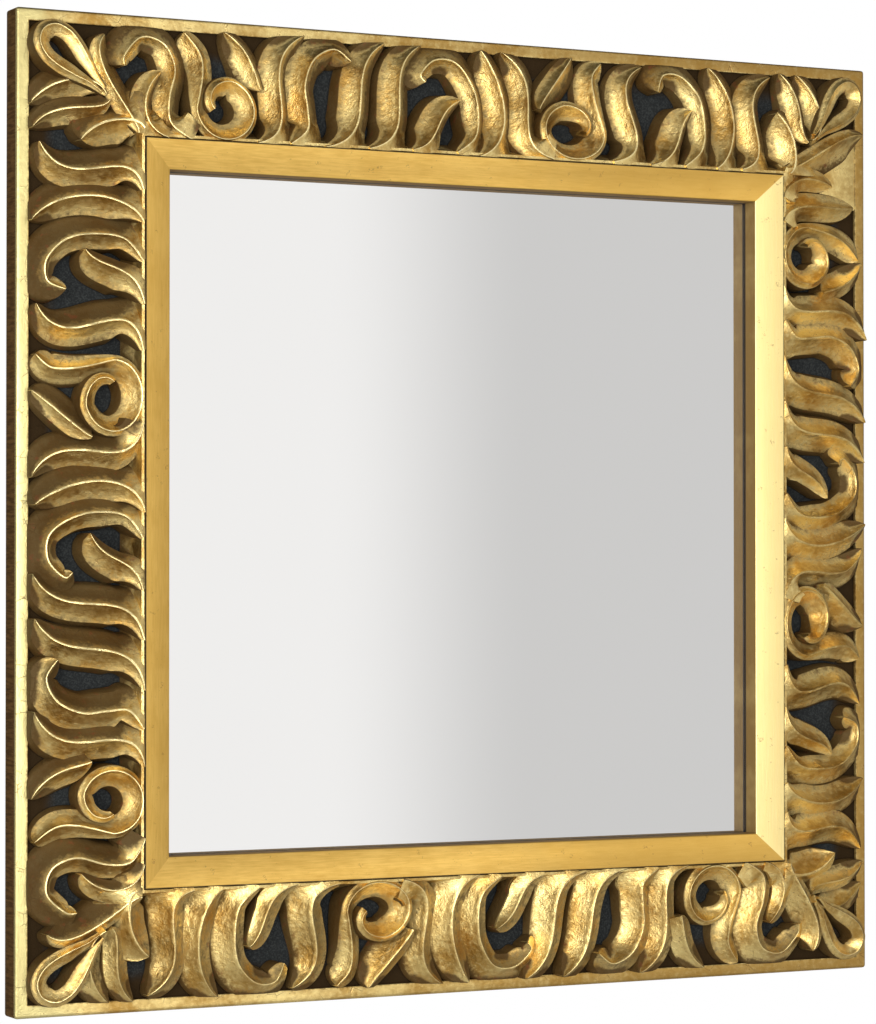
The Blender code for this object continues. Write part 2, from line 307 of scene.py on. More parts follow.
@dataclass(frozen=True)
class CarvedGold:
    """Worn gold leaf on carved wood: pale on the crests (wear and a painted highlight), brown in the recesses
    (old patination and painted shade), slate on the ground.

    The pairs of heights are in millimetres over the fillet: where a look starts and where it is full.
    """

    board_face: float
    frame_half: float
    band_outer: float
    # Pale crest lines: worn gold with a painted highlight.
    crest: Colour = (1.0, 0.86, 0.46)
    bright: Colour = (0.96, 0.74, 0.30)
    deep: Colour = (0.50, 0.29, 0.07)
    # Pale flecks on the gold: painted highlights.
    pale: Colour = (1.0, 0.86, 0.42)
    # The paler left fillet: a painted highlight.
    rim_highlight: Colour = (0.75, 0.66, 0.30)
    # Dark brown of the recesses: patination and painted shade.
    patina_and_shade: Colour = (0.060, 0.030, 0.008)
    # Dark brown on the ground along the fillet: grime and painted shade.
    dirt_and_shade: Colour = (0.030, 0.017, 0.006)
    red_ground: Colour = (0.17, 0.050, 0.020)
    slate: Colour = (0.018, 0.020, 0.021)
    pale_slate: Colour = (0.040, 0.044, 0.044)
    raw_side: Colour = (0.060, 0.031, 0.010)
    pale_side: Colour = (0.140, 0.076, 0.026)
    fillet_heights: tuple[float, float] = (1.5, 0.5)
    ground_heights: tuple[float, float] = (-2.2, -3.2)
    side_heights: tuple[float, float] = (0.2, -1.6)
    back_heights: tuple[float, float] = (-9.0, -11.0)
    gouge_depth: float = 0.95 * MM
    fine_depth: float = 0.24 * MM
    full_metal: float = 0.95
    most_rough: float = 0.95
    specular: float = 0.1

    def make(self) -> bpy.types.Material:
        """Make the material."""
        material, graph = new_material("carved_gold")
        crest, reading = self.read(graph)
        leaf = self.gilding(graph, reading)
        recess = self.recesses(reading)
        grain, fine, edge = reading.grain, reading.fine, reading.edge
        flecks = graph.cells(330, "F1").step(0.17, 0.08) * reading.cloud.step(0.48, 0.62)
        cracks = graph.cells(120, "DISTANCE_TO_EDGE").step(0.022, 0.004) * graph.noise(60, 2).step(0.54, 0.68)
        marred = (flecks * 0.8).most(cracks * 0.6)
        red = graph.noise(140, 3, 0.6).step(0.60, 0.72) * recess.step(0.1, 0.5)

        colour = graph.mix(marred, leaf, self.red_ground)
        # Patination and painted shade in the recesses.
        colour = graph.mix(recess * 0.95, colour, self.patina_and_shade)
        colour = graph.mix(red * 0.5, colour, self.red_ground)
        ground = reading.height.step(*self.ground_heights) * (1.0 - reading.level.step(0.2, 0.4))
        colour = graph.mix(ground, colour, self.sunk_ground(graph, reading))
        side = self.raw_wood(reading)
        streaks = graph.noise(60, 4, 0.6, graph.stretched((1.0, 1.0, 9.0)))
        wood = graph.mix(streaks.step(0.35, 0.7), self.raw_side, self.pale_side)
        colour = graph.mix(side, colour, wood)

        metal = (1.0 - recess) * (1.0 - ground) * (1.0 - side) * (1.0 - marred * 0.7)
        rough = 0.25 + grain * 0.18 + recess * 0.25 + ground * 0.3 + side * 0.3 - crest * 0.04
        gouge = graph.noise(230, 3, 0.6)
        calm = (1.0 - edge * 0.7) * (1.0 - reading.flat * 0.6)
        normal = graph.bump((gouge + grain * 0.45) * calm, self.gouge_depth, 0.6)
        normal = graph.bump(fine + cracks * -1.2, self.fine_depth, 0.7, normal)
        surface(graph, {
            "Base Color": colour,
            "Metallic": metal * self.full_metal,
            "Roughness": rough.least(self.most_rough),
            "Specular IOR Level": self.specular,
            "Normal": normal,
        })
        return material

    def read(self, graph: Graph) -> tuple[Signal, Reading]:
        """Read the place, the marks of the carving and the noises.

        Args:
            graph: The material's graph.

        Returns:
            The crest mark and the rest.
        """
        across, depth, up = graph.axes()
        marks = graph.node("ShaderNodeAttribute", {"attribute_name": "carving"}, None, "Color")
        split = "ShaderNodeSeparateColor"
        crest, level, wall = (graph.node(split, None, {0: marks}, axis) for axis in range(3))
        height = (depth * -1.0 - self.board_face) / MM
        return crest, Reading(
            across=across,
            half_width=abs(across).most(abs(up)),
            height=height,
            level=level,
            wall=wall,
            below=graph.node("ShaderNodeAttribute", {"attribute_name": "carving"}, None, "Alpha") * 2.0 - 1.0,
            edge=crest.step(0.50, 0.95),
            flat=level.step(0.90, 0.98) * height.step(*self.fillet_heights),
            cloud=graph.noise(30, 4, 0.55),
            grain=graph.noise(260, 5, 0.65),
            fine=graph.noise(900, 3, 0.6),
        )

    def gilding(self, graph: Graph, reading: Reading) -> Signal:
        """Mix the gold: browner towards the right, which is painted shade, pale on the left fillet, which is
        a painted highlight, and palest on the crests, worn and with a painted highlight.

        Args:
            graph: The material's graph.
            reading: What is read at the point.

        Returns:
            The colour of the gold leaf.
        """
        across, cloud, grain = reading.across, reading.cloud, reading.grain
        fillet = reading.half_width.step(self.band_outer, self.band_outer + MM)
        leaf = graph.mix((cloud * 0.9 + grain * 0.3 - 0.1).step(0.32, 0.66), self.deep, self.bright)
        # The fillet browner towards the right: painted shade.
        leaf = graph.mix((across + cloud * 0.25).step(0.02, 0.34) * fillet * 0.8, leaf, self.deep)
        # The left fillet paler: a painted highlight.
        leaf = graph.mix((across * -1.0 + cloud * 0.06).step(0.33, 0.36) * fillet * 0.85, leaf, self.rim_highlight)
        # Pale flecks along the grain: painted highlights, fewer on the flat fillet.
        leaf = graph.mix(grain.step(0.50, 0.68) * (0.26 - reading.flat * 0.12), leaf, self.pale)
        # The crests are paler: worn gold and a painted highlight.
        return graph.mix((reading.edge * (grain * 0.6 + 0.65)).least(1.0), leaf, self.crest)

    def recesses(self, reading: Reading) -> Signal:
        """Find where patination and painted shade lie: low down, in hollows, on flanks with stains and shade,
        and along the fillet.

        Args:
            reading: What is read at the point.

        Returns:
            The share of the patination and painted shade.
        """
        half_width, cloud, grain = reading.half_width, reading.cloud, reading.grain
        # Darker low in the carving: patination and painted shade.
        low = reading.level + (grain - 0.5) * 0.4 + (cloud - 0.5) * 0.25
        # Painted occlusion shade where a point lies below its surroundings.
        occlusion_shade = (reading.below + (grain - 0.5) * 0.5).step(0.05, 0.75) * (1.0 - reading.flat)
        # Stains and painted shade from the wall mark.
        stained_and_shaded = (reading.wall + (grain - 0.5) * 0.4 + (cloud - 0.5) * 0.3).step(0.36, 0.68)
        recess = low.step(0.54, 0.24).most(stained_and_shaded).most(occlusion_shade) * (1.0 - reading.edge * 0.8)
        # Darker along the fillet's inner edge, low down: patination and painted shade.
        seam = (half_width - self.band_outer + grain * 3 * MM).step(2.6 * MM, 1.0 * MM) * low.step(1.3, 1.0)
        seam = seam * half_width.step(self.band_outer - 0.5 * MM, self.band_outer)
        return recess.most(seam * 0.85)

    def sunk_ground(self, graph: Graph, reading: Reading) -> Signal:
        """Mix the slate of the sunk ground, darker brown along the fillet: grime and painted shade.

        Args:
            graph: The material's graph.
            reading: What is read at the point.

        Returns:
            The colour of the ground.
        """
        slate = graph.mix(reading.fine.step(0.4, 0.7), self.slate, self.pale_slate)
        # Darker brown towards the fillet: grime and painted shade.
        outward = reading.half_width + reading.cloud * 14 * MM
        return graph.mix(outward.step(self.band_outer - 16 * MM, self.band_outer - 4 * MM), slate, self.dirt_and_shade)

    def raw_wood(self, reading: Reading) -> Signal:
        """Find where raw wood shows: on the outer sides and at the back."""
        rim = reading.half_width.step(self.frame_half - 1.1 * MM, self.frame_half - 0.3 * MM)
        side = rim * (reading.height + reading.fine * 2.4).step(*self.side_heights)
        return side.most(reading.height.step(*self.back_heights))


@dataclass(frozen=True)
class SlipGold:
    """Smooth gold leaf on the slip, with fine grain along each rail, small nicks and a dark joint at its
    outer edge; painted shade makes the left bar and the right of the level bars browner and darkens the sight
    wall, a painted highlight makes the right bar paler, and a painted shadow line runs along the glass.
    """

    sight: float
    outer: float
    glass_face: float
    bright: Colour = (0.96, 0.63, 0.17)
    deep: Colour = (0.76, 0.46, 0.10)
    # Painted shade on the left bar and on the right of the level bars.
    brown: Colour = (0.52, 0.31, 0.065)
    # Painted highlight on the right bar.
    pale: Colour = (1.0, 0.86, 0.42)
    nick: Colour = (0.16, 0.065, 0.02)
    # The sight wall: dull brown, darkened as painted shade.
    wall: Colour = (0.18, 0.105, 0.026)
    # The dark joint at the outer edge and a painted shadow line along the glass.
    seam: Colour = (0.020, 0.012, 0.006)
    grain_depth: float = 0.16 * MM
    nick_depth: float = 0.10 * MM
    specular: float = 0.25

    def make(self) -> bpy.types.Material:
        """Make the material."""
        material, graph = new_material("slip_gold")
        across, depth, up = graph.axes()
        half_width = abs(across).most(abs(up))
        upright = (abs(across) - abs(up)).step(-0.0004, 0.0004)
        along = graph.noise(1.0, 5, 0.65, graph.stretched((60, 400, 900)))
        along_up = graph.noise(1.0, 5, 0.65, graph.stretched((900, 400, 60)))
        streak = along * (1.0 - upright) + along_up * upright
        cloud = graph.noise(26, 3, 0.6)
        fine = graph.noise(1100, 3, 0.6)
        nicks = graph.cells(420, "F1").step(0.11, 0.05) * graph.noise(35, 3).step(0.50, 0.62)
        scratches = graph.noise(150, 2, 0.5).step(0.66, 0.70) * fine.step(0.45, 0.6)
        colour = graph.mix((streak * 0.8 + cloud * 0.6 - 0.2).step(0.25, 0.75), self.deep, self.bright)
        # Painted shade: browner on the right of the level bars and on the left bar.
        right_shade = (1.0 - upright) * (across + cloud * 0.15).step(0.05, 0.22)
        colour = graph.mix((right_shade * 0.7).most(upright * across.step(0.0, -0.1) * 0.4), colour, self.brown)
        # Painted highlight: paler on the right bar.
        colour = graph.mix(upright * across.step(0.0, 0.1) * (0.9 - streak * 0.4), colour, self.pale)
        marred = nicks.most(scratches * 0.6)
        colour = graph.mix(marred * 0.8, colour, self.nick)
        # The sight wall, dull brown and darkened as painted shade.
        wall = half_width.step(self.sight + 0.5 * MM, self.sight + 0.1 * MM)
        colour = graph.mix(wall * (cloud * 0.5 + 0.75), colour, self.wall)
        # A painted shadow line along the glass; the dark joint at the outer edge.
        glass_shadow = wall * (depth + self.glass_face).step(-2.6 * MM, -1.4 * MM)
        joint = half_width.step(self.outer - 1.0 * MM, self.outer - 0.2 * MM) * (fine * 0.6 + 0.7)
        dirt_and_shade = glass_shadow.most(joint.least(1.0))
        colour = graph.mix(dirt_and_shade, colour, self.seam)
        normal = graph.bump(streak, self.grain_depth, 0.6)
        normal = graph.bump(fine - nicks, self.nick_depth, 0.5, normal)
        dull = wall.most(dirt_and_shade)
        surface(graph, {
            "Base Color": colour,
            "Metallic": (0.9 - marred * 0.6) * (1.0 - dull),
            "Roughness": 0.34 + streak * 0.18 + marred * 0.2 + dull * 0.3,
            "Specular IOR Level": self.specular,
            "Normal": normal,
        })
        return material


@dataclass(frozen=True)
class Silvering:
    """The silvered glass."""

    tint: Colour = (0.95, 0.955, 0.96)
    haze: Colour = (0.93, 0.935, 0.94)

    def make(self) -> bpy.types.Material:
        """Make the material."""
        material, graph = new_material("silvering")
        cloud = graph.noise(9, 3, 0.5)
        colour = graph.mix(cloud.step(0.3, 0.8) * 0.25, self.tint, self.haze)
        surface(graph, {"Base Color": colour, "Metallic": 1.0, "Roughness": 0.012 + cloud * 0.008})
        return material


@dataclass(frozen=True)
class PlainBoard:
    """The dull board at the back, with upright grain."""

    light: Colour = (0.36, 0.235, 0.13)
    dark: Colour = (0.20, 0.12, 0.06)

    def make(self) -> bpy.types.Material:
        """Make the material."""
        material, graph = new_material("plain_board")
        grain = graph.noise(1.0, 6, 0.65, graph.stretched((160, 40, 7)))
        cloud = graph.noise(6, 3)
        colour = graph.mix((grain * 0.9 + cloud * 0.3 - 0.1).step(0.25, 0.8), self.dark, self.light)
        surface(graph, {"Base Color": colour, "Roughness": 0.82, "Normal": graph.bump(grain, 0.3 * MM, 0.5)})
        return material


# Modelling by hand


def deselect_all() -> None:
    """Leave edit mode and deselect every object."""
    if bpy.context.mode != "OBJECT":
        bpy.ops.object.mode_set(mode="OBJECT")
    bpy.ops.object.select_all(action="DESELECT")


def pick(kind: str, wanted: Callable[[bmesh.types.BMFace | bmesh.types.BMEdge], bool]) -> None:
    """Select the faces or edges of the mesh in edit mode that a test picks out.

    Args:
        kind: FACE or EDGE.
        wanted: The test.
    """
    bpy.ops.mesh.select_mode(type=kind)
    bpy.ops.mesh.select_all(action="DESELECT")
    mesh = bpy.context.edit_object.data
    shape = bmesh.from_edit_mesh(mesh)
    for part in shape.faces if kind == "FACE" else shape.edges:
        if wanted(part):
            part.select_set(True)
    bmesh.update_edit_mesh(mesh)


def face_outward() -> None:
    """Turn all faces of the mesh in edit mode outward and leave edit mode."""
    bpy.ops.mesh.select_all(action="SELECT")
    bpy.ops.mesh.normals_make_consistent(inside=False)
    bpy.ops.object.mode_set(mode="OBJECT")


def pick_open_edges() -> None:
    """Select the open edges of the mesh in edit mode."""
    bpy.ops.mesh.select_mode(type="EDGE")
    bpy.ops.mesh.select_all(action="DESELECT")
    bpy.ops.mesh.select_non_manifold()


def join(parts: Sequence[bpy.types.Object]) -> bpy.types.Object:
    """Join objects into the first of them."""
    deselect_all()
    for part in parts:
        part.select_set(True)
    bpy.context.view_layer.objects.active = parts[0]
    bpy.ops.object.join()
    return bpy.context.object


def on_rail(points: np.ndarray, rail: int) -> np.ndarray:
    """Turn points of the top rail to another one."""
    return points @ np.array(Matrix.Rotation(rail * math.pi / 2, 3, "Y")).T


def add_block(name: str, half_width: float, back: float, front: float) -> bpy.types.Object:
    """Add a square block between two depths in front of the wall and open it in edit mode.

    Args:
        name: The object's name.
        half_width: Half its width and height.
        back: Depth of its back.
        front: Depth of its front.

    Returns:
        The block, in edit mode.
    """
    deselect_all()
    bpy.ops.mesh.primitive_cube_add(size=1)
    block = bpy.context.object
    block.name = name
    block.data.name = name
    bpy.ops.object.mode_set(mode="EDIT")
    bpy.ops.mesh.select_all(action="SELECT")
    bpy.ops.transform.resize(value=(2 * half_width, front - back, 2 * half_width))
    bpy.ops.transform.translate(value=(0, -(front + back) / 2, 0))
    return block


def looks(face: bmesh.types.BMFace, way: int, depth: float) -> bool:
    """Tell whether a face looks to the front (-1) or back (1) and lies at a depth in front of the wall."""
    return face.normal.y * way > 0.9 and abs(face.calc_center_median().y + depth) < 0.05 * MM


def spans(face: bmesh.types.BMFace, half_width: float) -> bool:
    """Tell whether a face looks to the front or the back and is a square of a half-width."""
    area = (2 * half_width) ** 2
    return abs(face.normal.y) > 0.9 and abs(face.calc_area() - area) < 0.01 * area


def largest_half(edge: bmesh.types.BMEdge) -> float:
    """Measure how far an edge lies from the middle of the mirror."""
    return max(max(abs(vertex.co.x), abs(vertex.co.z)) for vertex in edge.verts)


# The pattern


def weigh(points: Sequence[tuple[float, float]], weights: Sequence[float]) -> tuple[float, float]:
    """Add up points, each times its weight."""
    return tuple(sum(weight * point[axis] for weight, point in zip(weights, points)) for axis in (0, 1))


class Drawn:
    """What a drawn stroke tells the carver, unless its kind says otherwise.

    leafy: whether its two flanks differ in width and in stains and painted shade.
    far_slope: how steeply its far flank falls.
    inner_share: how much of a bend's radius a flank takes.
    root_reach: how close to the band a root lies that springs from it, in pattern millimetres.
    near_root, near_growth: the near flank's width at the root, and how fast it grows from there.
    tip_powers: how late the near and the far flank run out; the higher, the nearer the tip.
    """

    leafy: ClassVar[bool] = False
    far_slope: ClassVar[float] = 0.9
    inner_share: ClassVar[float] = 0.78
    root_reach: ClassVar[float] = 5
    near_root: float = 0.12
    near_growth: ClassVar[float]
    tip_powers: ClassVar[tuple[float, float]]

    @property
    def springs(self) -> bool:
        """Tell whether the stroke springs from the band along the glass."""
        return self.leafy and self.crest(0.0)[1] < self.root_reach

    def flanks(self, share: float) -> tuple[float, float]:
        """Find the widths of the near flank, narrow at both ends, and of the far one, wide at the root."""
        near = self.near * min(1.0, self.near_root + self.near_growth * share)
        near_end, far_end = (math.sqrt(max(0.0, 1 - share**power)) for power in self.tip_powers)
        return near * near_end, self.far * far_end


@dataclass(frozen=True)
class Leaf(Drawn):
    """A leaf whose crest runs from a root near the glass to a tip near the rim, in pattern millimetres."""

    root: tuple[float, float]
    bends: tuple[float, float]
    tip: tuple[float, float]
    tip_height: float
    near: float = 15.5
    far: float = 11.5
    rings: int = 28
    near_root: float = 0.12
    low_bend_share: float = 0.12
    high_bend_share: float = 0.72
    leafy: ClassVar[bool] = True
    near_growth: ClassVar[float] = 3
    tip_powers: ClassVar[tuple[float, float]] = (7, 7)

    def crest(self, share: float) -> tuple[float, float]:
        """Find a point on the crest, a cubic curve with its two handles at fixed shares of the rise."""
        rise = self.tip[1] - self.root[1]
        low = (self.bends[0], self.root[1] + rise * self.low_bend_share)
        high = (self.bends[1], self.root[1] + rise * self.high_bend_share)
        rest = 1 - share
        weights = (rest**3, 3 * rest**2 * share, 3 * rest * share**2, share**3)
        return weigh((self.root, low, high, self.tip), weights)


@dataclass(frozen=True)
class Hook(Drawn):
    """A leaf that bends over at its top, with its crest drawn through a few points."""

    through: tuple[tuple[float, float], ...]
    tip_height: float
    near: float = 15.5
    far: float = 11.5
    rings: int = 44
    leafy: ClassVar[bool] = True
    near_growth: ClassVar[float] = 3.6
    tip_powers: ClassVar[tuple[float, float]] = (6, 10)

    def crest(self, share: float) -> tuple[float, float]:
        """Find a point on a Catmull-Rom curve through the points."""
        last = len(self.through) - 1
        place = min(share * last, last - 1e-6)
        index = int(place)
        part = place - index
        points = [self.through[min(max(index + step, 0), last)] for step in (-1, 0, 1, 2)]
        weights = (
            -(part**3) + 2 * part**2 - part,
            3 * part**3 - 5 * part**2 + 2,
            -3 * part**3 + 4 * part**2 + part,
            part**3 - part**2,
        )
        return tuple(total / 2 for total in weigh(points, weights))


@dataclass(frozen=True)
class Petal(Hook):
    """A leaf that runs out and back around a slot, widest at its outer end."""

    leafy: ClassVar[bool] = False
    far_slope: ClassVar[float] = 0.5
    inner_share: ClassVar[float] = 0.95
    opening_growth: ClassVar[float] = 2.6
    closed_share: ClassVar[float] = 0.4
    end_reach: ClassVar[float] = 0.12
    end_swell: ClassVar[float] = 0.45

    def flanks(self, share: float) -> tuple[float, float]:
        """Find the widths of the outer and the inner flank, narrow where the two arms meet."""
        opening = min(1.0, self.opening_growth * (1 - abs(2 * share - 1)))
        end = max(0.0, 1 - abs(share - 0.5) / self.end_reach)
        near = self.near * (self.closed_share + (1 - self.closed_share) * opening)
        return near, self.far * opening * (1 + self.end_swell * end)


@dataclass(frozen=True)
class Volute(Drawn):
    """A ring that curls in on itself, with a tail that runs out to the rim."""

    middle: tuple[float, float]
    radii: tuple[float, float]
    tail: tuple[tuple[float, float], ...]
    tip_height: float
    mirrored: bool = False
    inner: float = 13.5
    outer: float = 4.0
    near: float = 15.5
    far: float = 11.5
    tail_share: float = 0.32
    curl_start: float = 0.7
    eye_share: float = 0.38
    curl_power: float = 1.2
    curl_narrowing: float = 0.75
    tail_tip_power: float = 5
    rings: int = 84

    def crest(self, share: float) -> tuple[float, float]:
        """Find a point on the tail and then on the ring, whose radius shrinks over its last part."""
        if share < self.tail_share:
            return Hook(self.tail + (self.ring_point(0.0),), self.tip_height).crest(share / self.tail_share)
        return self.ring_point((share - self.tail_share) / (1 - self.tail_share))

    def ring_point(self, turn: float) -> tuple[float, float]:
        """Find a point after a share of the full turn, which starts at the tail and passes the root first."""
        side = -1 if self.mirrored else 1
        shrink = 1 - (1 - self.eye_share) * self.curl(turn) ** self.curl_power
        angle = math.pi + 2 * math.pi * turn
        across = side * self.radii[0] * shrink * math.cos(angle)
        along = self.radii[1] * shrink * math.sin(angle)
        return self.middle[0] + across, self.middle[1] + along

    def curl(self, turn: float) -> float:
        """Find how far a share of the turn has come through the last part, where the ring curls in."""
        return max(0.0, (turn - self.curl_start) / (1 - self.curl_start))

    def flanks(self, share: float) -> tuple[float, float]:
        """Find the widths on the left and the right of the path; the wide flank falls into the eye."""
        if share < self.tail_share:
            part = share / self.tail_share
            tip_part = math.sqrt(max(0.0, 1 - (1 - part) ** self.tail_tip_power))
            outer = (self.near + (self.outer - self.near) * part**2) * tip_part
            inner = (self.far + (self.inner - self.far) * part) * tip_part
        else:
            turn = (share - self.tail_share) / (1 - self.tail_share)
            inner = self.inner * (1 - self.curl_narrowing * self.curl(turn))
            outer = self.outer
        return (outer, inner) if self.mirrored else (inner, outer)


Stroke = Leaf | Hook | Volute


class Course(Enum):
    """How a stroke's points are read."""

    RAIL = "along the rail and up from the inner edge of the band"
    DIAGONAL = "along and across the diagonal of the corner"


@dataclass(frozen=True)
class Pattern:
    """The strokes of one rail, in millimetres on a rail of the drawn size."""

    band: float = 78.6
    half_length: float = 301.7
    mended_rail: int = 1
    plain: tuple[Leaf, ...] = (
        Leaf((-177, 0), (-134, -184), (-138, 79.6), 15.6),
        Leaf((-124, 0), (-75, -113), (-74, 78.6), 14.5),
        Leaf((-89, 1), (-43, -83), (-43, 79.6), 12),
        Leaf((0, 0), (33, 23), (5, 78.6), 14),
        Leaf((62, 1), (17, 67), (24, 79.6), 9),
        Leaf((113, 2), (164, 100), (144, 76), 8),
        Leaf((203, 2), (222, 229), (202, 79.6), 9),
        Leaf((225, 2), (263, 214), (256, 75), 11),
        Leaf((-54, 2), (-29, -38), (-15, 40), 16, near=15, far=6, rings=20),
        Leaf((145, 1), (176, 166), (182, 44), 16, near=15, far=6, rings=20),
        Leaf((-173, 38), (-176, -176), (-198, 79), 9, near=14, far=8, rings=18),
        Leaf((52, 38), (53, 76), (84, 79.6), 9, near=9, far=13, rings=18),
        Leaf((268, 1), (277, 276), (258, 47), 15, near=19, far=14, rings=20, near_root=0.75),
        Leaf((286, 26), (276, 288), (266, 79), 9, near=13, far=7, rings=20),
        Leaf((290, 28), (307, 303), (283, 79.6), 6, near=14, far=9, rings=20),
    )
    first: tuple[Leaf, ...] = (
        Leaf((-268, 2), (-265, -309), (-291, 70), 15, near=8, far=12),
        Leaf((-245, 0), (-268, -266), (-250, 46), 15.5, near=11, far=6, rings=20),
    )
    mended: tuple[Leaf, ...] = (
        Leaf((-268, 2), (-262, -300), (-297, 76), 15, near=8, far=17),
        Leaf((-245, 0), (-264, -262), (-255, 46), 13, near=12, far=8, rings=20),
        Leaf((-227, 0), (-247, -236), (-240, 68), 12, near=13, far=10, rings=24),
    )
    first_hook: Hook = Hook(
        ((-227, -1), (-243, 10), (-244, 28), (-239, 49), (-246, 66), (-263, 70), (-276, 57), (-277, 49)),
        14, near=12,
    )
    hooks: tuple[Hook, ...] = (
        Hook(((-151, 1), (-138, 12), (-138, 28), (-139, 45), (-131, 63), (-115, 71), (-102, 63)), 16, far=11),
        Hook(((-18, 2), (-3, 14), (0, 33), (-4, 52), (-16, 68), (-33, 69), (-45, 58), (-42, 52)),
             13, near=12),
        Hook(((175, 2), (190, 15), (193, 36), (189, 56), (175, 70), (160, 70), (154, 57)), 13, near=12),
    )
    volutes: tuple[Volute, ...] = (
        Volute((-201, 22.6), (22, 21.5), ((-228, 76.5), (-218, 62.6), (-217, 47)), 8),
        Volute((81, 22.6), (25, 20.5), ((109, 76.5), (100, 65.6), (100, 48)), 8, mirrored=True),
    )
    mended_tail: tuple[tuple[float, float], ...] = ((-200, 76), (-211, 64), (-218, 48))
    petal: Petal = Petal(
        ((44, 1.9), (54, 3.9), (65, 8.2), (77, 12), (88, 13), (98, 9), (102, 0),
         (98, -9), (88, -13), (77, -12), (65, -8.2), (54, -3.9), (44, -1.9)),
        12, near=4.5, far=8.8, rings=60,
    )
    patch_along: tuple[float, float] = (-296, -240)
    patch_rise: float = 42

    def strokes(self, rail: int) -> list[tuple[Stroke, Course]]:
        """List the strokes of a rail.

        Args:
            rail: The rail's number, clockwise from the top.

        Returns:
            Each stroke with how its points are read.
        """
        mended = rail == self.mended_rail
        opening = self.mended if mended else (*self.first, self.first_hook)
        volutes = self.volutes
        if mended:
            volutes = (replace(volutes[0], tail=self.mended_tail), volutes[1])
        listed = [(stroke, Course.RAIL) for stroke in (*opening, *self.plain, *self.hooks, *volutes)]
        return [*listed, (self.petal, Course.DIAGONAL)]


